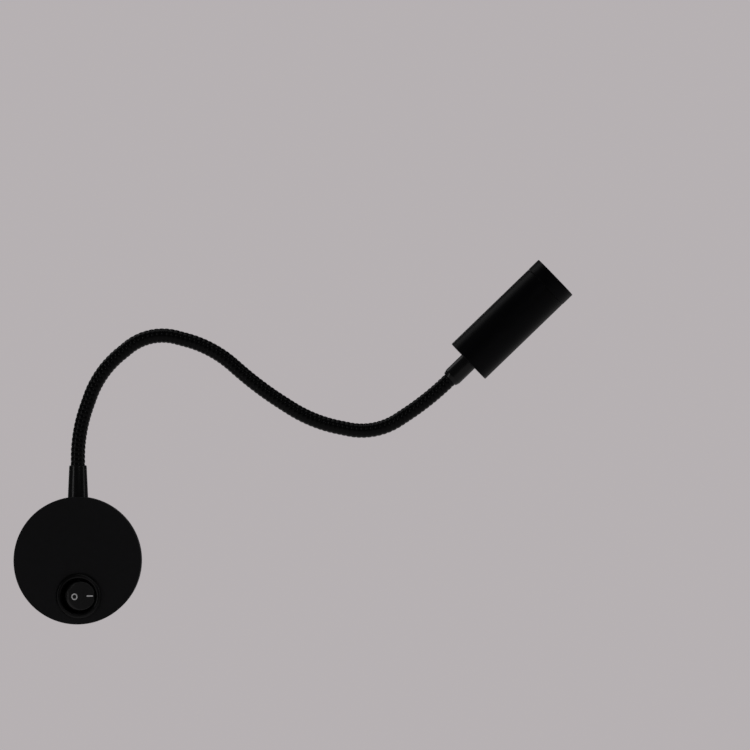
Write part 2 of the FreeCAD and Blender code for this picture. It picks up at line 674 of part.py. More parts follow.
def make_heat_sink():
    """A plug with wide grooves along its side, so that it has fins, and a hole for the leads."""
    radius = HEAD_R - HEAD_WALL - 0.15
    groove_r = radius - 4.5
    fins = 12
    outline = []
    for i in range(fins):
        for share, size in ((0.0, radius), (0.25, radius), (0.5, radius), (0.55, groove_r), (0.95, groove_r)):
            angle = 2 * math.pi * (i + share) / fins
            outline.append(vec(size * math.cos(angle), size * math.sin(angle), SINK_START))
    plug = Part.Face(Part.makePolygon(outline + outline[:1])).extrude(vec(0, 0, SINK_LENGTH - 5))
    plate = rod(radius, 5, vec(0, 0, SINK_START + SINK_LENGTH - 5), Z_DIR, OUTER_SIDES)
    plug = plug.fuse(plate).cut(rod(3.0, SINK_LENGTH, vec(0, 0, SINK_START), Z_DIR, 12))
    for side in (1, -1):
        plug = plug.cut(rod(0.85, 5, vec(0, side * 8.0, SINK_START + SINK_LENGTH - 5), Z_DIR, 12))
    return on_head(plug)


def make_led_board():
    start = SINK_START + SINK_LENGTH
    board = rod(10.5, BOARD_THICK, vec(0, 0, start), Z_DIR)
    for side in (1, -1):
        board = board.cut(rod(1.05, BOARD_THICK, vec(0, side * 8.0, start), Z_DIR, 12))
    return on_head(board)


def make_emitter():
    start = SINK_START + SINK_LENGTH + BOARD_THICK
    base = block((-2.5, -2.5, start), (2.5, 2.5, start + 0.8))
    return on_head(together([base, rod(2.0, 1.0, vec(0, 0, start + 0.4), Z_DIR)]))


def make_board_screws():
    start = SINK_START + SINK_LENGTH + BOARD_THICK
    screws = [screw(0.8, 4.0, 1.6, 1.1, vec(0, side * 8.0, start - 4.0), vec(0, 0, -1)) for side in (1, -1)]
    return on_head(Part.makeCompound(screws))


def make_lens_holder():
    start = SINK_START + SINK_LENGTH + BOARD_THICK
    outer = HEAD_R - HEAD_WALL - 0.15
    end = HEAD_TUBE_LENGTH - 5.4
    profile = [(11.0, start - BOARD_THICK), (outer, start - BOARD_THICK), (outer, end), (11.0, end)]
    return on_head(turned(profile, sides=OUTER_SIDES))


def make_lens():
    start = SINK_START + SINK_LENGTH + BOARD_THICK + 1.6
    face = HEAD_LENGTH - 4.0
    profile = [(0, start + 3.0), (2.4, start + 3.0), (2.9, start), (4.2, start), (6.6, start + 3.6),
               (9.0, start + 8.2), (9.6, face - 2.0), (10.9, face - 2.0), (10.9, face), (0, face)]
    return on_head(turned(profile))


def make_front_ring():
    thread = HEAD_R - HEAD_WALL - 0.05
    start = HEAD_TUBE_LENGTH + 0.1
    profile = [(11.0, start - 5.4), (thread, start - 5.4), (thread, start), (RING_R, start),
               (RING_R, HEAD_LENGTH - 0.4), (RING_R - 0.4, HEAD_LENGTH), (11.9, HEAD_LENGTH),
               (10.2, HEAD_LENGTH - 3.6), (10.2, HEAD_LENGTH - 4.0), (11.0, HEAD_LENGTH - 4.0)]
    return on_head(turned(profile, sides=OUTER_SIDES))


# --- wiring in the canopy ---
def make_wires():
    left = TERMINAL_X[0] + 3.0
    right = TERMINAL_X[1] - 3.0
    live = [vec(left, -12.0, pole_height(2)), vec(8.0, -12.0, pole_height(2)), switch_point(2.4, 6.6),
            switch_point(0.45 + WIRE_R, 6.6)]
    switched = [switch_point(-6.0 - WIRE_R, 6.6), switch_point(-13.0, 6.6), switch_point(-14.0, 11.0, 9.0),
                vec(-9.0, -AXIS_DEPTH, -2.0), vec(-9.0, -AXIS_DEPTH, DRIVER_Z[0] + 3.0)]
    neutral = [vec(left, -12.0, pole_height(1)), vec(10.6, -12.0, pole_height(1)),
               vec(9.0, -AXIS_DEPTH, -6.0), vec(9.0, -AXIS_DEPTH, DRIVER_Z[0] + 3.0)]
    earth = [vec(right, -12.0, pole_height(0)), vec(27.5, -12.0, pole_height(0)),
             vec(25.5, -6.0, -11.0), vec(17.0, -2.65, -16.5), vec(EARTH_X, -2.65, -15.0),
             vec(EARTH_X, -2.65, -8.0)]
    return {"live_wire": live, "switched_wire": switched, "neutral_wire": neutral, "earth_wire": earth}


def main():
    os.makedirs("parts", exist_ok=True)
    save("canopy", make_canopy())
    save("wall_bracket", make_bracket())
    save("bracket_side_screws", make_side_screws())
    save("cable_grommet", make_grommet())
    save("earth_screw", make_earth_screw())
    save("earth_tag", make_earth_tag())
    save("driver_case", make_driver_case())
    save("driver_lid", make_driver_lid())
    save("driver_board", make_driver_board())
    save("terminal_block", make_terminal_block())
    save("terminal_screws", make_terminal_screws())
    save("switch_housing", make_switch_housing())
    save("rocker", make_rocker())
    save("rocker_plunger", make_plunger())
    save("plunger_spring", make_plunger_spring())
    save("seesaw_contact", make_seesaw())
    save("switch_line_terminal", make_line_terminal())
    save("switch_load_terminal", make_load_terminal())
    for link in range(len(LINK_TURNS)):
        save("neck_link_%d" % (link + 1), make_hose_length(link))
    save("lead_red", make_lead(1))
    save("lead_black", make_lead(-1))
    save("base_ferrule", make_base_ferrule())
    save("hose_saddle_washer", make_saddle_washer())
    save("hose_nut", make_hose_nut())
    save("head_ferrule", make_head_ferrule())
    save("head_lock_washer", make_head_washer())
    save("head_lock_nut", make_head_nut())
    save("head_tube", make_head_tube())
    save("heat_sink", make_heat_sink())
    save("led_board", make_led_board())
    save("led_emitter", make_emitter())
    save("board_screws", make_board_screws())
    save("lens_holder", make_lens_holder())
    save("lens", make_lens())
    save("front_ring", make_front_ring())
    for name, points in make_wires().items():
        save(name, swept(rounded_path(points, 3.0), WIRE_R, 6))


main()
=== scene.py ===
import bmesh
import bpy
import math
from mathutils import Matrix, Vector


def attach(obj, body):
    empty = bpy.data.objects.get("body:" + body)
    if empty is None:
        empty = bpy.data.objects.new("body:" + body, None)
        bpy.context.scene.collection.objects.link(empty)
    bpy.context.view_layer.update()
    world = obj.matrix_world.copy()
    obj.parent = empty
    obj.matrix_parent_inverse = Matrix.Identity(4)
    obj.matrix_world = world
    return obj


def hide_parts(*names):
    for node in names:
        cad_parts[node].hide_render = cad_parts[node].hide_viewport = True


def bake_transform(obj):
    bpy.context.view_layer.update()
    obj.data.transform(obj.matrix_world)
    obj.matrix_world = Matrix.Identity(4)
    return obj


# Bedside wall reading lamp. Sizes are in millimetres; X is right, Z is up, the wall is Y = 0.
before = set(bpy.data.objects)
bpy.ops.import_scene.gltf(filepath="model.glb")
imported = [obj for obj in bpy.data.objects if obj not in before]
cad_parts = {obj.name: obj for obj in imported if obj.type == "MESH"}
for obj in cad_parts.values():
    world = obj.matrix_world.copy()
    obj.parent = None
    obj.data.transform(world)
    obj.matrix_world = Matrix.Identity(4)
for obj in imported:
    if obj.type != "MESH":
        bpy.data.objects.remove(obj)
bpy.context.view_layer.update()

mm = 0.001
right = Vector((1, 0, 0))
front = Vector((0, -1, 0))
up = Vector((0, 0, 1))


# the photograph's view: straight at the wall through a long lens, which takes in this width
# at the depth of the canopy's front
viewSettings = {"x": 163.5, "z": 102.0, "distance": 6000.0, "width": 411.75, "depth": 28.0, "sensor": 36.0,
                "farMetres": 60.0}


def addCamera():
    lens = bpy.data.cameras.new("photoCamera")
    lens.sensor_width = viewSettings["sensor"]
    reach = viewSettings["distance"] - viewSettings["depth"]
    lens.lens = viewSettings["sensor"] * reach / viewSettings["width"]
    lens.clip_end = viewSettings["farMetres"]
    camera = bpy.data.objects.new("photoCamera", lens)
    camera.location = Vector((viewSettings["x"], -viewSettings["distance"], viewSettings["z"])) * mm
    camera.rotation_euler = (math.pi / 2, 0, 0)
    bpy.context.collection.objects.link(camera)
    bpy.context.scene.camera = camera


addCamera()
print("camera placed")


def addNode(tree, kind, values=None, **settings):
    made = tree.nodes.new(kind)
    for key, value in settings.items():
        setattr(made, key, value)
    for key, value in (values or {}).items():
        made.inputs[key].default_value = value
    return made


def link(tree, source, output, target, entry):
    tree.links.new(source.outputs[output], target.inputs[entry])


surface = {"patchDetail": 5.0, "fineDetail": 4.0, "noiseRough": 0.55, "toneEnds": (0.3, 0.7),
           "edgeFrom": 0.52, "edgeTo": 0.6}


def grain(tree, scale, stretch, detail):
    place = addNode(tree, "ShaderNodeTexCoord")
    size = addNode(tree, "ShaderNodeMapping", {"Scale": stretch})
    noise = addNode(tree, "ShaderNodeTexNoise",
                    {"Scale": scale, "Detail": detail, "Roughness": surface["noiseRough"]})
    link(tree, place, "Object", size, "Vector")
    link(tree, size, "Vector", noise, "Vector")
    return noise


def ramp(tree, ends, dark, light):
    tones = addNode(tree, "ShaderNodeValToRGB")
    for element, position, colour in zip(tones.color_ramp.elements, ends, (dark, light)):
        element.position = position
        element.color = (*colour, 1)
    return tones


# dark and light are the two tones of the patches, rough is the range of the grain's roughness,
# relief is in millimetres, and rubbed is the tone that the outer edges are worn to
def coated(name, look):
    material = bpy.data.materials.new(name)
    material.use_nodes = True
    tree = material.node_tree
    shader = tree.nodes["Principled BSDF"]
    shader.inputs["Metallic"].default_value = look.get("metal", 0.0)
    shader.inputs["Specular IOR Level"].default_value = look.get("gloss", 0.5)
    stretch = look.get("stretch", (1, 1, 1))
    patches = grain(tree, look["patch"], stretch, surface["patchDetail"])
    tones = ramp(tree, surface["toneEnds"], look["dark"], look["light"])
    link(tree, patches, "Fac", tones, "Fac")
    if "rubbed" in look:
        edges = addNode(tree, "ShaderNodeNewGeometry")
        edgeRange = {"From Min": surface["edgeFrom"], "From Max": surface["edgeTo"], "To Max": look["rub"]}
        worn = addNode(tree, "ShaderNodeMapRange", edgeRange)
        blend = addNode(tree, "ShaderNodeMix", data_type="RGBA")
        blend.inputs[7].default_value = (*look["rubbed"], 1)     # sockets 6 and 7 are the node's two colours
        link(tree, edges, "Pointiness", worn, "Value")
        link(tree, worn, "Result", blend, "Factor")
        link(tree, tones, "Color", blend, 6)
        link(tree, blend, 2, shader, "Base Color")
    else:
        link(tree, tones, "Color", shader, "Base Color")
    fine = grain(tree, look["grain"], stretch, surface["fineDetail"])
    sheen = addNode(tree, "ShaderNodeMapRange", {"To Min": look["rough"][0], "To Max": look["rough"][1]})
    link(tree, fine, "Fac", sheen, "Value")
    link(tree, sheen, "Result", shader, "Roughness")
    relief = addNode(tree, "ShaderNodeBump", {"Strength": look["bump"], "Distance": look["relief"] * mm})
    link(tree, fine, "Fac", relief, "Height")
    link(tree, relief, "Normal", shader, "Normal")
    return material


looks = {
    "canopyBlack": {"dark": (0.0013, 0.0013, 0.0018), "light": (0.0024, 0.0023, 0.0032), "patch": 260,
                    "grain": 2600, "rough": (0.5, 0.66), "bump": 0.4, "relief": 0.05, "gloss": 0.2,
                    "rubbed": (0.01, 0.01, 0.01), "rub": 0.3},
    "headBlack": {"dark": (0.0008, 0.0008, 0.0012), "light": (0.0014, 0.0014, 0.0021), "patch": 180,
                  "grain": 2200, "rough": (0.32, 0.44), "bump": 0.14, "relief": 0.03, "gloss": 0.07,
                  "rubbed": (0.02, 0.02, 0.02), "rub": 0.4},
    "hoseBlack": {"dark": (0.0008, 0.0008, 0.001), "light": (0.0016, 0.0016, 0.0019), "patch": 420,
                  "grain": 3200, "rough": (0.2, 0.32), "bump": 0.1, "relief": 0.02, "gloss": 0.1},
    "ferruleBlack": {"dark": (0.0014, 0.0014, 0.0016), "light": (0.0026, 0.0026, 0.0028), "patch": 300,
                     "grain": 2400, "rough": (0.2, 0.28), "bump": 0.08, "relief": 0.02, "gloss": 0.24,
                     "rubbed": (0.02, 0.02, 0.02), "rub": 0.4},
    "switchBlack": {"dark": (0.0016, 0.0016, 0.0017), "light": (0.003, 0.003, 0.0032), "patch": 700,
                    "grain": 5200, "rough": (0.3, 0.46), "bump": 0.25, "relief": 0.03, "gloss": 0.32},
    "bezelBlack": {"dark": (0.001, 0.001, 0.0012), "light": (0.002, 0.002, 0.0023), "patch": 700,
                   "grain": 5200, "rough": (0.24, 0.34), "bump": 0.15, "relief": 0.03, "gloss": 0.16},
    "markGrey": {"dark": (0.6, 0.6, 0.6), "light": (0.78, 0.78, 0.79), "patch": 2600, "grain": 6000,
                 "rough": (0.45, 0.6), "bump": 0.2, "relief": 0.02},
    "zincSteel": {"dark": (0.5, 0.52, 0.54), "light": (0.72, 0.73, 0.74), "patch": 240, "grain": 900,
                  "rough": (0.26, 0.46), "bump": 0.15, "relief": 0.02, "metal": 1.0, "stretch": (1, 1, 14),
                  "rubbed": (0.85, 0.86, 0.88), "rub": 0.6},
    "screwSteel": {"dark": (0.42, 0.42, 0.43), "light": (0.66, 0.65, 0.64), "patch": 600, "grain": 3000,
                   "rough": (0.22, 0.4), "bump": 0.15, "relief": 0.02, "metal": 1.0},
    "screwBlack": {"dark": (0.006, 0.006, 0.006), "light": (0.014, 0.014, 0.015), "patch": 600, "grain": 3000,
                   "rough": (0.3, 0.5), "bump": 0.15, "relief": 0.02, "metal": 0.4},
    "contactBrass": {"dark": (0.56, 0.38, 0.15), "light": (0.78, 0.57, 0.27), "patch": 500, "grain": 2600,
                     "rough": (0.24, 0.42), "bump": 0.15, "relief": 0.02, "metal": 1.0, "stretch": (1, 1, 8)},
    "grommetRubber": {"dark": (0.008, 0.008, 0.008), "light": (0.016, 0.016, 0.016), "patch": 500,
                      "grain": 3000, "rough": (0.6, 0.8), "bump": 0.3, "relief": 0.04},
    "plungerWhite": {"dark": (0.62, 0.61, 0.58), "light": (0.72, 0.71, 0.69), "patch": 900, "grain": 4000,
                     "rough": (0.35, 0.5), "bump": 0.1, "relief": 0.02},
    "driverWhite": {"dark": (0.6, 0.6, 0.585), "light": (0.7, 0.7, 0.69), "patch": 160, "grain": 2600,
                    "rough": (0.42, 0.58), "bump": 0.2, "relief": 0.03,
                    "rubbed": (0.8, 0.8, 0.79), "rub": 0.4},
    "boardGreen": {"dark": (0.012, 0.09, 0.035), "light": (0.03, 0.16, 0.06), "patch": 900, "grain": 3000,
                   "rough": (0.3, 0.45), "bump": 0.2, "relief": 0.03},
    "terminalWhite": {"dark": (0.52, 0.52, 0.5), "light": (0.66, 0.66, 0.64), "patch": 300, "grain": 3000,
                      "rough": (0.3, 0.45), "bump": 0.1, "relief": 0.02},
    "wireBrown": {"dark": (0.07, 0.026, 0.012), "light": (0.11, 0.042, 0.02), "patch": 500, "grain": 3000,
                  "rough": (0.35, 0.5), "bump": 0.15, "relief": 0.02},
    "wireBlue": {"dark": (0.012, 0.07, 0.32), "light": (0.02, 0.11, 0.42), "patch": 500, "grain": 3000,
                 "rough": (0.35, 0.5), "bump": 0.15, "relief": 0.02},
    "leadRed": {"dark": (0.35, 0.012, 0.01), "light": (0.5, 0.025, 0.02), "patch": 500, "grain": 3000,
                "rough": (0.35, 0.5), "bump": 0.15, "relief": 0.02},
    "leadBlack": {"dark": (0.008, 0.008, 0.008), "light": (0.02, 0.02, 0.02), "patch": 500, "grain": 3000,
                  "rough": (0.35, 0.5), "bump": 0.15, "relief": 0.02},
    "sinkAluminium": {"dark": (0.62, 0.63, 0.64), "light": (0.8, 0.8, 0.81), "patch": 300, "grain": 2000,
                      "rough": (0.25, 0.4), "bump": 0.15, "relief": 0.02, "metal": 1.0, "stretch": (6, 6, 1)},
    "boardWhite": {"dark": (0.62, 0.62, 0.6), "light": (0.74, 0.74, 0.72), "patch": 500, "grain": 3000,
                   "rough": (0.3, 0.45), "bump": 0.15, "relief": 0.02},
    "holderBlack": {"dark": (0.006, 0.006, 0.006), "light": (0.012, 0.012, 0.012), "patch": 300,
                    "grain": 3000, "rough": (0.4, 0.55), "bump": 0.2, "relief": 0.03},
}
finishes = {name: coated(name, look) for name, look in looks.items()}

earthWireLook = {"green": (0.02, 0.2, 0.04), "yellow": (0.75, 0.55, 0.03), "stripes": 260.0, "waver": 0.6,
                 "toneEnds": (0.45, 0.52)}


def stripedWire():
    material = coated("wireGreenYellow", looks["wireBrown"])
    tree = material.node_tree
    place = addNode(tree, "ShaderNodeTexCoord")
    bands = addNode(tree, "ShaderNodeTexWave",
                    {"Scale": earthWireLook["stripes"], "Distortion": earthWireLook["waver"]},
                    wave_type="BANDS", bands_direction="DIAGONAL")
    tones = ramp(tree, earthWireLook["toneEnds"], earthWireLook["green"], earthWireLook["yellow"])
    link(tree, place, "Object", bands, "Vector")
    link(tree, bands, "Fac", tones, "Fac")
    link(tree, tones, "Color", tree.nodes["Principled BSDF"], "Base Color")
    return material


finishes["wireGreenYellow"] = stripedWire()

emitterLook = {"dark": (0.75, 0.5, 0.08), "light": (0.95, 0.72, 0.2), "patch": 1800, "grain": 6000,
               "rough": (0.4, 0.55), "bump": 0.2, "relief": 0.02, "glow": (1.0, 0.9, 0.68), "strength": 6.0}


def litPhosphor():
    material = coated("emitterYellow", emitterLook)
    shader = material.node_tree.nodes["Principled BSDF"]
    shader.inputs["Emission Color"].default_value = (*emitterLook["glow"], 1)
    shader.inputs["Emission Strength"].default_value = emitterLook["strength"]
    return material


finishes["emitterYellow"] = litPhosphor()

lensLook = {"dark": (0.93, 0.94, 0.95), "light": (0.98, 0.98, 0.98), "patch": 200, "grain": 1500,
            "rough": (0.02, 0.07), "bump": 0.1, "relief": 0.03, "clear": 0.95, "bending": 1.49}


def clearPlastic():
    material = coated("lensClear", lensLook)
    shader = material.node_tree.nodes["Principled BSDF"]
    shader.inputs["Transmission Weight"].default_value = lensLook["clear"]
    shader.inputs["IOR"].default_value = lensLook["bending"]
    return material


finishes["lensClear"] = clearPlastic()
print("finishes mixed:", len(finishes))


tiny = 1e-6
weldMetres = 1e-7
sharpAngle = 35.0     # edges that turn by more than this many degrees stay sharp


def pieceFrom(name, points, faces, finish, angle=sharpAngle):
    mesh = bpy.data.meshes.new(name)
    mesh.from_pydata([Vector(point) * mm for point in points], [], faces)
    mesh.validate()
    piece = bpy.data.objects.new(name, mesh)
    bpy.context.collection.objects.link(piece)
    dress(piece, finish, angle)
    return piece


def dress(piece, finish, angle=sharpAngle):
    mesh = piece.data
    work = bmesh.new()
    work.from_mesh(mesh)
    bmesh.ops.remove_doubles(work, verts=work.verts, dist=weldMetres)
    bmesh.ops.recalc_face_normals(work, faces=work.faces)
    for edge in work.edges:
        edge.smooth = len(edge.link_faces) < 2 or edge.calc_face_angle(0) < math.radians(angle)
    for face in work.faces:
        face.smooth = True
    work.to_mesh(mesh)
    work.free()
    mesh.materials.clear()
    mesh.materials.append(finishes[finish])


mostOfEdge = 0.48     # a rounding takes at most this share of the edges beside it


# a corner of a profile is (radius, height), and a third number is the radius that it is rounded by
def softened(profile, steps=4):
    line = []
    count = len(profile)
    for i, corner in enumerate(profile):
        if len(corner) < 3:
            line.append(corner)
            continue
        here = Vector(corner[:2])
        into = here - Vector(profile[i - 1][:2])
        out = Vector(profile[(i + 1) % count][:2]) - here
        turn = into.angle(out)
        back = min(corner[2] * math.tan(turn / 2), into.length * mostOfEdge, out.length * mostOfEdge)
        first = here - into.normalized() * back
        last = here + out.normalized() * back
        for step in range(steps + 1):
            t = step / steps
            line.append(tuple((1 - t) ** 2 * first + 2 * t * (1 - t) * here + t * t * last))
    return line


# a profile turned round an axis; one that starts off the axis closes on itself as a ring
def turned(name, profile, base, direction, finish, sides=96, angle=sharpAngle):
    line = softened(profile)
    turn = up.rotation_difference(Vector(direction)).to_matrix()
    points = []
    starts = []
    for radius, along in line:
        starts.append(len(points))
        if radius < tiny:
            points.append(Vector(base) + turn @ Vector((0, 0, along)))
            continue
        for side in range(sides):
            around = 2 * math.pi * side / sides
            spot = Vector((radius * math.cos(around), radius * math.sin(around), along))
            points.append(Vector(base) + turn @ spot)
    faces = []
    pairs = [(row, row + 1) for row in range(len(line) - 1)]
    if line[0][0] > tiny:
        pairs.append((len(line) - 1, 0))
    for a, b in pairs:
        onAxis = [line[a][0] < tiny, line[b][0] < tiny]
        for side in range(sides):
            after = (side + 1) % sides
            if onAxis[0] and onAxis[1]:
                continue
            if onAxis[0]:
                faces.append((starts[a], starts[b] + side, starts[b] + after))
            elif onAxis[1]:
                faces.append((starts[a] + side, starts[b], starts[a] + after))
            else:
                faces.append((starts[a] + side, starts[b] + side, starts[b] + after, starts[a] + after))
    return pieceFrom(name, points, faces, finish, angle)


def bored(piece, cutters, finish, angle=sharpAngle):
    for cutter in cutters:
        cut = piece.modifiers.new("hole", "BOOLEAN")
        cut.operation = "DIFFERENCE"
        cut.solver = "EXACT"
        cut.object = cutter
    bpy.context.view_layer.update()
    solid = bpy.data.meshes.new_from_object(piece.evaluated_get(bpy.context.evaluated_depsgraph_get()))
    piece.modifiers.clear()
    piece.data = solid
    for cutter in cutters:
        bpy.data.objects.remove(cutter)
    dress(piece, finish, angle)
    return piece


def drill(radius, length, base, direction, sides=48):
    outline = [(0, 0), (radius, 0), (radius, length), (0, length)]
    return turned("drill", outline, base, direction, "holderBlack", sides)


def block(low, high):
    ends = list(zip(low, high))
    corners = [(x, y, z) for x in ends[0] for y in ends[1] for z in ends[2]]
    sheets = [(0, 1, 3, 2), (4, 6, 7, 5), (0, 4, 5, 1), (2, 3, 7, 6), (0, 2, 6, 4), (1, 5, 7, 3)]
    return pieceFrom("drill", corners, sheets, "holderBlack")


def seat(piece, body, slotName, *nodes):
    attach(piece, body)
    if nodes:
        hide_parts(*nodes)
    return piece


canopy = {"radius": 35.0, "depth": 28.0, "wall": 1.5, "front": 1.6, "edge": 0.6, "axisDepth": 14.0,
          "insideCorner": 1.0, "rimEdges": (0.1, 0.2), "hoseHole": 4.2, "screwDepth": 8.0, "screwHole": 1.7,
          "drillRun": 5.0, "drillInset": 3.5, "sides": 192}
switch = {"drop": 19.3, "aside": 0.8, "hole": 10.1, "holeStart": 25.0, "body": 9.9, "flange": 12.4,
          "pivot": 24.0, "face": 5.0, "radius": 8.2, "endReach": 10.1, "tilt": 12.0}
switchBase = Vector((switch["aside"], 0, -switch["drop"]))


def makeCanopy():
    outer = canopy["radius"]
    inner = outer - canopy["wall"]
    depth = canopy["depth"]
    deep = depth - canopy["front"]
    run = canopy["drillRun"]
    skin = outer - canopy["drillInset"]
    profile = [(0, deep), (inner, deep, canopy["insideCorner"]), (inner, 0, canopy["rimEdges"][0]),
               (outer, 0, canopy["rimEdges"][1]), (outer, depth, canopy["edge"]), (0, depth)]
    cup = turned("canopyCup", profile, (0, 0, 0), front, "canopyBlack", canopy["sides"])
    holes = [drill(switch["hole"], run, switchBase + front * switch["holeStart"], front, 96),
             drill(canopy["hoseHole"], run, (0, -canopy["axisDepth"], skin), up)]
    for side in (1, -1):
        spot = (side * skin, -canopy["screwDepth"], 0)
        holes.append(drill(canopy["screwHole"], run, spot, right * side, 32))
    seat(bored(cup, holes, "canopyBlack"), "base", "canopy_black", "canopy")
    print("canopy turned and drilled")


makeCanopy()

bezel = {"back": 13.0, "lip": 28.8, "crown": 2.0, "crest": 11.6, "crestDrop": 0.2, "shoulder": 10.6,
         "mouth": 9.9, "mouthDrop": 0.5, "throat": 9.3, "bore": 8.6, "floor": 20.2, "sides": 144,
         "pinHole": 1.1, "pinRun": 22.0, "slots": (0.0, -5.6), "slotLow": (-0.45, -15, -2.45),
         "slotHigh": (0.45, -12, 2.45)}


def makeHousing():
    top = canopy["depth"] + bezel["crown"]
    profile = [(0, bezel["back"]), (switch["body"], bezel["back"], 0.4), (switch["body"], canopy["depth"]),
               (switch["flange"], canopy["depth"], 0.1), (switch["flange"], bezel["lip"], 0.3),
               (bezel["crest"], top - bezel["crestDrop"], 0.7), (bezel["shoulder"], top, 0.6),
               (bezel["mouth"], top - bezel["mouthDrop"], 0.6), (bezel["throat"], canopy["depth"], 0.6),
               (bezel["bore"], switch["pivot"]), (bezel["bore"], bezel["floor"], 0.4), (0, bezel["floor"])]
    housing = turned("switchBezel", profile, switchBase, front, "bezelBlack", bezel["sides"])
    pinStart = switchBase + front * switch["pivot"] - up * (bezel["pinRun"] / 2)
    holes = [drill(bezel["pinHole"], bezel["pinRun"], pinStart, up, 24)]
    for x in bezel["slots"]:     # the two brass blades come out through these
        middle = switchBase + right * x
        holes.append(block(middle + Vector(bezel["slotLow"]), middle + Vector(bezel["slotHigh"])))
    seat(bored(housing, holes, "bezelBlack"), "base", "switch_black", "switch_housing")


paddle = {"rings": 26, "sides": 144, "edge": 0.45, "offEdge": 1.5, "edgeSteps": 6, "sharp": 40,
          "valley": 0.55, "valleyLift": 0.6, "rimHeight": 6.55, "levels": (5.6, 5.0, 4.0, 2.0), "skirt": -1.5,
          "under": 7.0, "recess": 1.5, "underEdge": 0.05, "pin": 1.0, "pinHalf": 9.3, "pinEdge": 0.2}


# the face is a shallow V across the rocker, with a rounded valley
def faceHeight(x):
    valley = paddle["valley"]
    rise = math.sqrt(x * x + valley * valley) - valley * paddle["valleyLift"]
    return switch["face"] + math.tan(math.radians(switch["tilt"])) * rise


# from the rocker's own x, z and height above its pivot to the lamp, with the rocker tilted as at rest
def onRocker(x, z, height):
    lean = math.radians(switch["tilt"])
    across = x * math.cos(lean) + height * math.sin(lean)
    out = height * math.cos(lean) - x * math.sin(lean)
    return switchBase + Vector((across, -switch["pivot"] - out, z))


# the rocker is round, but its two ends are cut back to clear the bezel as it tilts
def paddleReach(around, height):
    endX = math.sqrt(switch["endReach"] ** 2 - height ** 2)
    across = abs(math.cos(around))
    return switch["radius"] if across * switch["radius"] <= endX else endX / across


def paddleEdge(around):
    toOff = (1 - math.cos(around)) / 2     # the raised end on the left is rounded more
    return paddle["edge"] + (paddle["offEdge"] - paddle["edge"]) * toOff


def makeRocker():
    sides = paddle["sides"]
    angles = [2 * math.pi * side / sides for side in range(sides)]
    rims = [paddleReach(around, paddle["rimHeight"]) for around in angles]
    points = [onRocker(0, 0, faceHeight(0))]

    def addPoint(radius, around, height):
        points.append(onRocker(radius * math.cos(around), radius * math.sin(around), height))

    for ring in range(1, paddle["rings"] + 1):     # the face, from its middle outwards
        for around, rim in zip(angles, rims):
            radius = (rim - paddleEdge(around)) * ring / paddle["rings"]
            addPoint(radius, around, faceHeight(radius * math.cos(around)))
    for step in range(1, paddle["edgeSteps"] + 1):     # the rounded edge
        turn = math.pi / 2 * step / paddle["edgeSteps"]
        for around, rim in zip(angles, rims):
            edge = paddleEdge(around)
            height = faceHeight((rim - edge) * math.cos(around)) - edge * (1 - math.cos(turn))
            addPoint(rim - edge + edge * math.sin(turn), around, height)
    for height in (*paddle["levels"], paddle["skirt"]):     # the flank
        for around, rim in zip(angles, rims):
            edge = paddleEdge(around)
            level = min(height, faceHeight((rim - edge) * math.cos(around)) - edge - paddle["underEdge"])
            addPoint(max(rim, paddleReach(around, level)) if level > 0 else switch["radius"], around, level)
    for height in (paddle["skirt"], paddle["recess"]):     # the hollow underneath
        for around in angles:
            addPoint(paddle["under"], around, height)
    rows = (len(points) - 1) // sides
    points.append(onRocker(0, 0, paddle["recess"]))
    faces = []
    for side in range(sides):
        after = (side + 1) % sides
        faces.append((0, 1 + side, 1 + after))
        for row in range(rows - 1):
            a = 1 + row * sides
            faces.append((a + side, a + sides + side, a + sides + after, a + after))
        last = 1 + (rows - 1) * sides
        faces.append((last + side, len(points) - 1, last + after))
    button = pieceFrom("rockerPaddle", points, faces, "switchBlack", paddle["sharp"])
    seat(button, "rocker", "switch_black", "rocker")
    pin, half, edge = paddle["pin"], paddle["pinHalf"], paddle["pinEdge"]
    outline = [(0, -half), (pin, -half, edge), (pin, half, edge), (0, half)]
    pins = turned("rockerPins", outline, switchBase + front * switch["pivot"], up, "switchBlack", 32)
    seat(pins, "rocker", "switch_black")
    print("rocker shaped:", len(points), "points")


marks = {"offX": -3.52, "offZ": -0.4, "ring": 1.78, "stroke": 0.62, "ringSteps": 48,
         "barX": 4.99, "barLength": 3.55, "bar": 0.66, "barSteps": 16, "barBlunt": 0.04,
         "raise": 0.06, "sink": 0.1, "trim": 0.03}


# an outline is a run of (inner, outer) pairs of x and z on the rocker's face
def ringOutline():
    pairs = []
    centre = Vector((marks["offX"], marks["offZ"]))
    for step in range(marks["ringSteps"]):
        around = 2 * math.pi * step / marks["ringSteps"]
        way = Vector((math.cos(around), math.sin(around)))
        inner = centre + way * (marks["ring"] - marks["stroke"])
        pairs.append((tuple(inner), tuple(centre + way * marks["ring"])))
    return pairs


def barOutline():
    pairs = []
    half = marks["bar"] / 2
    halfLength = marks["barLength"] / 2
    for step in range(marks["barSteps"] + 1):
        t = step / marks["barSteps"] * 2 - 1
        nearEnd = max(0.0, abs(t) * halfLength - (halfLength - half)) / half
        width = half * math.sqrt(max(marks["barBlunt"], 1 - nearEnd * nearEnd))     # the ends are round
        x = marks["barX"] + t * halfLength
        pairs.append(((x, -width), (x, width)))
    return pairs


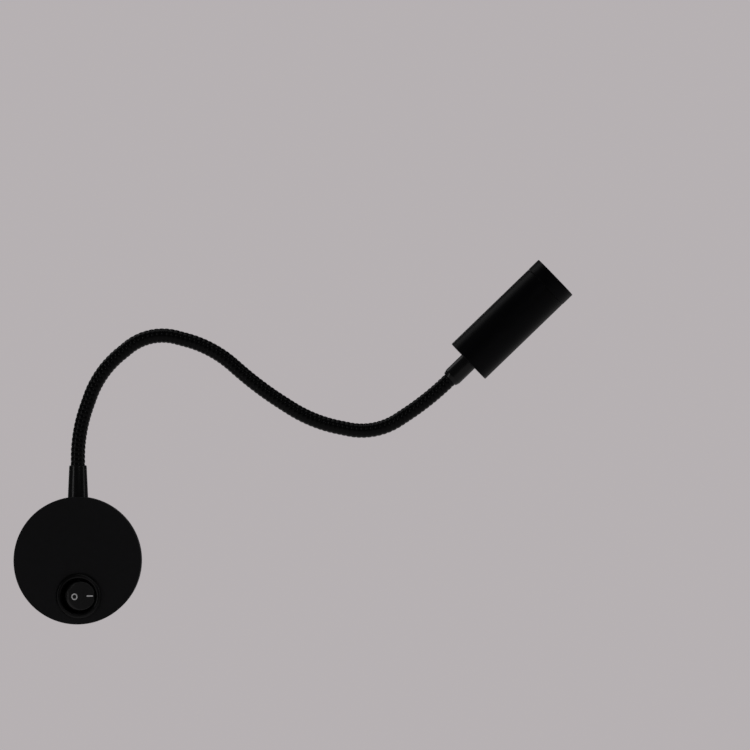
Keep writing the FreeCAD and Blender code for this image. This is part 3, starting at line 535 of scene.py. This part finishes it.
# each mark is a thin slab that follows the rocker's face and stands just proud of it
def makeMarks():
    for name, outline, closed in (("offMark", ringOutline(), True), ("onMark", barOutline(), False)):
        points = []
        faces = []
        count = len(outline)
        for lift in (-marks["sink"], marks["raise"] - marks["trim"], marks["raise"]):
            trim = marks["trim"] if lift == marks["raise"] else 0.0
            for inner, outer in outline:
                for spot, other in ((inner, outer), (outer, inner)):
                    way = (Vector(other) - Vector(spot)).normalized() * trim
                    x, z = spot[0] + way.x, spot[1] + way.y
                    points.append(onRocker(x, z, faceHeight(x) + lift))
        loops = [(0, 2 * count), (2 * count, 4 * count)]
        for i in range(count if closed else count - 1):
            after = (i + 1) % count
            for low, high in loops:
                faces.append((low + 2 * i, low + 2 * after, high + 2 * after, high + 2 * i))
                faces.append((low + 2 * i + 1, high + 2 * i + 1, high + 2 * after + 1, low + 2 * after + 1))
            top = 4 * count
            faces.append((top + 2 * i, top + 2 * after, top + 2 * after + 1, top + 2 * i + 1))
            faces.append((2 * i, 2 * i + 1, 2 * after + 1, 2 * after))
        if not closed:
            for i in (0, count - 1):
                for low, high in loops:
                    faces.append((low + 2 * i, low + 2 * i + 1, high + 2 * i + 1, high + 2 * i))
        seat(pieceFrom(name, points, faces, "markGrey"), "rocker", "switch_black")


makeHousing()
makeRocker()
makeMarks()
print("switch built")


neck = {"startZ": 52.4, "pitch": 34.36, "turns": (-19.5, -31.0, -54.5, -26.0, 8.5, 21.0, 45.0, 10.5),
        "ribs": 13, "straightIn": 4.0, "straightOut": 1.5, "crest": 4.0, "tail": 8.0, "wireRound": 0.62,
        "seamRib": 6, "rows": 10, "sides": 44, "sharp": 60, "bendReach": 12.0}
leads = {"radius": 0.65, "offset": 0.95, "sides": 14, "step": 2.5, "startZ": 14.0, "gap": 0.1}
bodies = ["base", "link_2", "link_3", "link_4", "link_5", "link_6", "link_7", "head"]


# the place and the heading of the neck's centre line, this far along it from the base ferrule's mouth
def neckSpot(along):
    x, z, heading = 0.0, neck["startZ"], math.pi / 2
    bend = neck["pitch"] - neck["straightIn"] - neck["straightOut"]
    if along < 0:
        return Vector((x, -canopy["axisDepth"], z + along)), heading
    left = along
    for turn in neck["turns"]:
        last = turn == neck["turns"][-1]
        here = left if last else min(left, neck["pitch"])
        whole = math.radians(turn)
        share = min(max(here - neck["straightIn"], 0.0), bend) / bend
        chord = 2 * bend / whole * math.sin(whole * share / 2)
        runs = [(min(here, neck["straightIn"]), heading), (chord, heading + whole * share / 2),
                (max(here - neck["straightIn"] - bend, 0.0), heading + whole * share)]
        for run, way in runs:     # straight, bent, straight
            x += run * math.cos(way)
            z += run * math.sin(way)
        heading += whole * share
        left -= here
        if left <= tiny:
            break
    return Vector((x, -canopy["axisDepth"], z)), heading


# a point round that line, with the angle counted from the left of the heading; shift is towards the left too
def aroundNeck(along, radius, angle, shift=0.0):
    centre, heading = neckSpot(along)
    leftOf = Vector((-math.sin(heading), 0, math.cos(heading)))
    return centre + leftOf * (radius * math.cos(angle) + shift) + Vector((0, radius * math.sin(angle), 0))


# the round back of a rib, with share going from 0 to 1 across it
def ribRadius(share):
    pitch = neck["pitch"] / neck["ribs"]
    t = (2 * share - 1) * neck["wireRound"]
    return neck["crest"] - pitch / 2 * (1 - math.sqrt(1 - t * t))


# the ribs are wound as one spiral, so going once round the hose leads on by the rows of one rib
def woundHose(name, firstRow, lastRow):
    rows = neck["rows"]
    sides = neck["sides"]
    pitch = neck["pitch"] / neck["ribs"]
    points = []
    index = {}

    def corner(row, side):
        key = (row + rows * (side // sides), side % sides)
        if key not in index:
            along = pitch * (key[0] / rows + key[1] / sides)
            angle = math.pi / 2 + 2 * math.pi * key[1] / sides
            index[key] = len(points)
            points.append(aroundNeck(along, ribRadius((key[0] % rows) / rows), angle))
        return index[key]

    faces = []
    for row in range(firstRow, lastRow):
        for side in range(sides):
            spots = ((row, side), (row, side + 1), (row + 1, side + 1), (row + 1, side))
            faces.append([corner(*spot) for spot in spots])
    return pieceFrom(name, points, faces, "hoseBlack", neck["sharp"])


def leadTube(name, start, end, shift, finish):
    steps = max(2, math.ceil((end - start) / leads["step"]))
    sides = leads["sides"]
    points = []
    faces = []
    for step in range(steps + 1):
        along = start + (end - start) * step / steps
        for side in range(sides):
            points.append(aroundNeck(along, leads["radius"], 2 * math.pi * side / sides, shift))
    for step in range(steps):
        for side in range(sides):
            a = step * sides
            after = (side + 1) % sides
            faces.append((a + side, a + after, a + sides + after, a + sides + side))
    return pieceFrom(name, points, faces, finish)


headRun = {"ferrule": 14.1, "board": 46.0}


# a piece goes from the middle of one length to the middle of the next, across the joint between them; the
# first piece stays with the base and the last one with the head
def makeNeck():
    rowsPerLength = neck["rows"] * neck["ribs"]
    firstSeam = neck["rows"] * neck["seamRib"]
    pitch = neck["pitch"] / neck["ribs"]
    total = neck["pitch"] * len(neck["turns"])
    seams = [firstSeam + rowsPerLength * i for i in range(len(bodies))]
    starts = [round(-neck["tail"] / pitch * neck["rows"])] + seams
    ends = seams + [round((total + neck["tail"]) / pitch * neck["rows"]) - neck["rows"]]
    leadsEnd = total + headRun["ferrule"] + headRun["board"] - leads["gap"]
    for i, (first, last) in enumerate(zip(starts, ends)):
        node = "neck_link_%d" % min(i + 1, len(bodies))
        hose = woundHose("neckHose_%d" % (i + 1), first, last)
        low = first * pitch / neck["rows"] if i else leads["startZ"] - neck["startZ"]
        high = last * pitch / neck["rows"] if i < len(bodies) else leadsEnd
        pieces = [(hose, "hose_black", node)]
        for label, shift, finish in (("Red", -1, "leadRed"), ("Black", 1, "leadBlack")):
            lead = leadTube("lead%s_%d" % (label, i + 1), low, high, shift * leads["offset"], finish)
            pieces.append((lead, "lead_" + label.lower(), "lead_" + label.lower()))
        for piece, slotName, stands in pieces:
            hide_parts(stands)
            if i in (0, len(bodies)):
                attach(piece, bodies[0] if i == 0 else bodies[-1])
                continue
            centre, heading = neckSpot(neck["pitch"] * i)
            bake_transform(piece)


makeNeck()
print("neck wound and joined at", len(bodies) - 1, "flex points")


baseFerrule = {"foot": 5.6, "mouth": 4.85, "tail": 27.0, "stud": 4.0, "bore": 2.6, "thread": 1.0,
               "floorDrop": 1.2, "skirt": 0.6, "lipHeight": 0.35, "lip": 4.1, "socket": 4.05,
               "socketDepth": 8.2, "saddleStart": 0.3, "saddleDrop": 0.9, "sides": 96}
threadForm = {"crestStart": 0.2, "crestEnd": 0.4, "root": 0.8, "deep": 0.45}     # shares of the pitch


def threaded(low, high, outer, pitch):
    ridges = []
    height = low
    while height + pitch <= high + tiny:
        ridges += [(outer, height + pitch * threadForm["crestStart"]),
                   (outer, height + pitch * threadForm["crestEnd"]),
                   (outer - pitch * threadForm["deep"], height + pitch * threadForm["root"])]
        height += pitch
    return ridges


def makeBaseFerrule():
    shape = baseFerrule
    mouth = neck["startZ"]
    socketEnd = mouth - shape["socketDepth"]
    floorZ = canopy["radius"] - shape["floorDrop"]
    profile = [(shape["bore"], shape["tail"])]
    profile += threaded(shape["tail"], floorZ, shape["stud"], shape["thread"])
    profile += [(shape["stud"], floorZ), (shape["foot"], floorZ),
                (shape["foot"], canopy["radius"] + shape["skirt"]),
                (shape["mouth"], mouth - shape["lipHeight"], 0.5), (shape["lip"], mouth, 0.15),
                (shape["socket"], socketEnd), (shape["bore"], socketEnd)]
    ferrule = turned("baseFerrule", profile, (0, -canopy["axisDepth"], 0), up, "ferruleBlack", shape["sides"])
    for vertex in ferrule.data.vertices:     # the foot sits on the round side of the canopy
        x, y, z = vertex.co / mm
        off = math.hypot(x, y + canopy["axisDepth"])
        if off > shape["stud"] + shape["saddleStart"] and z < canopy["radius"] - shape["saddleDrop"]:
            vertex.co.z = math.sqrt(canopy["radius"] ** 2 - x * x) * mm
    seat(ferrule, "base", "ferrule_black", "base_ferrule")


headEnd, headTurn = neckSpot(neck["pitch"] * len(neck["turns"]))
headWay = Vector((math.cos(headTurn), 0, math.sin(headTurn)))
headBack = headEnd + headWay * headRun["ferrule"]
headFerrule = {"bore": 2.6, "socket": 4.1, "socketDepth": 8.2, "lip": 4.6, "body": 5.25, "taper": 2.2,
               "stud": 4.0, "studEnd": 9.0, "threadStart": 0.2, "thread": 1.0, "sides": 96}


def makeHeadFerrule():
    shape = headFerrule
    start = -headRun["ferrule"]
    socketEnd = start + shape["socketDepth"]
    profile = [(shape["bore"], socketEnd), (shape["socket"], socketEnd), (shape["socket"], start, 0.1),
               (shape["lip"], start, 0.3), (shape["body"], start + shape["taper"], 1.5), (shape["body"], 0),
               (shape["stud"], 0)]
    profile += threaded(shape["threadStart"], shape["studEnd"], shape["stud"], shape["thread"])
    profile += [(shape["stud"], shape["studEnd"]), (shape["bore"], shape["studEnd"])]
    ferrule = turned("headFerrule", profile, headBack, headWay, "ferruleBlack", shape["sides"])
    seat(ferrule, "head", "ferrule_black", "head_ferrule")


makeBaseFerrule()
makeHeadFerrule()
print("ferrules turned")


head = {"radius": 13.35, "wall": 1.2, "back": 2.0, "length": 59.0, "whole": 66.8, "ring": 13.45, "hole": 4.1,
        "seam": 0.1, "spigot": 5.4, "spigotBore": 11.0, "spigotGap": 0.05, "mouth": 11.9, "throat": 10.2,
        "throatDepth": 3.6, "lipDepth": 4.0, "sides": 160}


def makeHead():
    outer, length, whole = head["radius"], head["length"], head["whole"]
    inner = outer - head["wall"]
    barrel = [(head["hole"], 0), (outer, 0, 0.5), (outer, length, 0.3), (inner, length),
              (inner, head["back"], 0.5), (head["hole"], head["back"])]
    tube = turned("headBarrel", barrel, headBack, headWay, "headBlack", head["sides"])
    seat(tube, "head", "head_black", "head_tube")
    start = length + head["seam"]
    spigot = inner - head["spigotGap"]
    lip = whole - head["lipDepth"]
    cap = [(head["spigotBore"], start - head["spigot"]), (spigot, start - head["spigot"]), (spigot, start),
           (head["ring"], start, 0.35), (head["ring"], whole, 0.4), (head["mouth"], whole, 0.25),
           (head["throat"], whole - head["throatDepth"]), (head["throat"], lip), (head["spigotBore"], lip)]
    ring = turned("frontRing", cap, headBack, headWay, "headBlack", head["sides"])
    seat(ring, "head", "head_black", "front_ring")
    print("head turned")


makeHead()


kept = {"wall_bracket": "zincSteel", "bracket_side_screws": "screwBlack", "cable_grommet": "grommetRubber",
        "earth_screw": "screwSteel", "earth_tag": "contactBrass", "driver_case": "driverWhite",
        "driver_lid": "driverWhite", "driver_board": "boardGreen", "terminal_block": "terminalWhite",
        "terminal_screws": "screwSteel", "rocker_plunger": "plungerWhite", "plunger_spring": "screwSteel",
        "seesaw_contact": "contactBrass", "switch_line_terminal": "contactBrass",
        "switch_load_terminal": "contactBrass", "hose_saddle_washer": "screwSteel", "hose_nut": "screwSteel",
        "head_lock_washer": "screwSteel", "head_lock_nut": "screwSteel", "heat_sink": "sinkAluminium",
        "led_board": "boardWhite", "led_emitter": "emitterYellow", "board_screws": "screwSteel",
        "lens_holder": "holderBlack", "lens": "lensClear", "live_wire": "wireBrown",
        "switched_wire": "wireBrown", "neutral_wire": "wireBlue", "earth_wire": "wireGreenYellow"}


def repaint():
    for name, finish in kept.items():
        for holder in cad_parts[name].material_slots:
            holder.material = finishes[finish]
    print("kept parts repainted:", len(kept))


repaint()


studio = {"floorZ": -900.0, "floorHalf": 9000.0, "paper": (0.72, 0.7, 0.7), "paperLift": 1.06,
          "paperGlow": 0.36, "room": (0.07, 0.069, 0.071), "backdrop": (0.47, 0.44, 0.45),
          "target": (0.12, -0.014, 0.05)}     # the target and the lamps' places and sizes are in metres
lamps = [
    {"name": "leftBox", "at": (-1.9, -1.2, 0.3), "size": (0.45, 1.6), "power": 5.0},
    {"name": "centreBox", "at": (0.75, -2.3, 1.3), "size": (0.4, 1.2), "power": 3.8},
    {"name": "cornerBox", "at": (-1.3, 0.8, 1.9), "size": (1.3, 1.3), "power": 5.0},
    {"name": "lowBox", "at": (1.7, 0.9, -0.5), "size": (1.0, 0.6), "power": 0.8},
    {"name": "rightBox", "at": (2.1, -0.3, 0.6), "size": (0.5, 1.8), "power": 3.0},
    {"name": "topBox", "at": (0.2, 0.1, 2.3), "size": (1.6, 1.2), "power": 4.5},
    {"name": "backBox", "at": (-0.9, 2.9, 0.3), "size": (1.4, 1.2), "power": 6.0},
]


def addStudio():
    lighter = tuple(c * studio["paperLift"] for c in studio["paper"])
    paper = {"dark": studio["paper"], "light": lighter, "patch": 3, "grain": 60, "rough": (0.7, 0.85),
             "bump": 0.05, "relief": 0.2}
    finishes["floorPaper"] = coated("floorPaper", paper)
    glowing = finishes["floorPaper"].node_tree.nodes["Principled BSDF"]
    glowing.inputs["Emission Color"].default_value = (*studio["paper"], 1)
    glowing.inputs["Emission Strength"].default_value = studio["paperGlow"]
    half, z = studio["floorHalf"], studio["floorZ"]
    corners = [(-half, -half, z), (half, -half, z), (half, half, z), (-half, half, z)]
    pieceFrom("studioFloor", corners, [(0, 1, 2, 3)], "floorPaper")
    world = bpy.data.worlds.new("studioAir")
    bpy.context.scene.world = world
    world.use_nodes = True
    tree = world.node_tree
    tree.nodes.clear()
    path = addNode(tree, "ShaderNodeLightPath")
    room = addNode(tree, "ShaderNodeBackground", {"Color": (*studio["room"], 1)})
    seen = addNode(tree, "ShaderNodeBackground", {"Color": (*studio["backdrop"], 1)})
    either = addNode(tree, "ShaderNodeMixShader")
    out = addNode(tree, "ShaderNodeOutputWorld")
    link(tree, path, "Is Camera Ray", either, "Fac")
    link(tree, room, 0, either, 1)
    link(tree, seen, 0, either, 2)
    link(tree, either, 0, out, "Surface")
    target = Vector(studio["target"])
    for lamp in lamps:
        light = bpy.data.lights.new(lamp["name"], "AREA")
        light.shape = "RECTANGLE"
        light.size, light.size_y = lamp["size"]
        light.energy = lamp["power"]
        holder = bpy.data.objects.new(lamp["name"], light)
        holder.location = lamp["at"]
        holder.rotation_euler = (target - holder.location).to_track_quat("-Z", "Y").to_euler()
        holder.visible_camera = False
        bpy.context.collection.objects.link(holder)
    bpy.context.scene.view_settings.view_transform = "Standard"
    print("studio lit with", len(lamps), "soft boxes")


addStudio()
